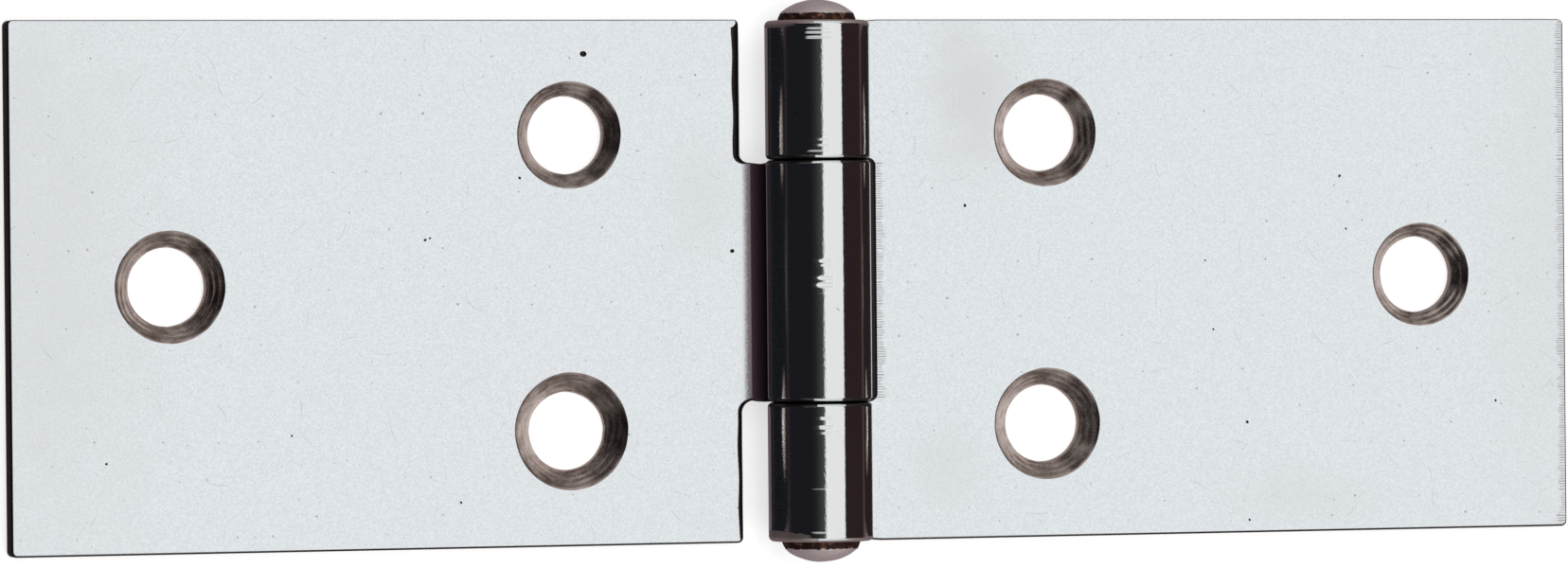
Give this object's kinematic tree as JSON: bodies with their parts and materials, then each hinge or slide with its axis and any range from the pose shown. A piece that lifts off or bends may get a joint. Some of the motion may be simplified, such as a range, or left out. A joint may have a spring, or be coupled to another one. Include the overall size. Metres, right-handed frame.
{
  "type": "fixed pin hinge",
  "caption": "Flat steel hinge with plain rectangular leaves, rolled knuckles on a riveted pin with domed heads, and countersunk screw holes.",
  "frame": {"origin": "on the plane of the leaves' backs, under the middle of the pin, with the hinge lying open on its back", "axes": "+X across the leaves towards the leaf with two knuckles, +Y along the pin, +Z through the sheet towards the countersunk faces and the barrel"},
  "size_m": [0.1, 0.0344, 0.0064],
  "materials": {
    "leaf_steel": "polished bright plated steel",
    "pin_steel": "unpolished steel, rough on the riveted heads"
  },
  "bodies": {
    "right_side": {"right_leaf": "leaf_steel", "hinge_pin": "pin_steel"},
    "left_side": {"left_leaf": "leaf_steel"}
  },
  "joints": [
    {"name": "leaf_swing", "type": "hinge", "parent": "right_side", "child": "left_side", "pos_m": [0, 0, 0.0032], "axis": [0, 1, 0], "range_deg": [-103, 180]}
  ]
}
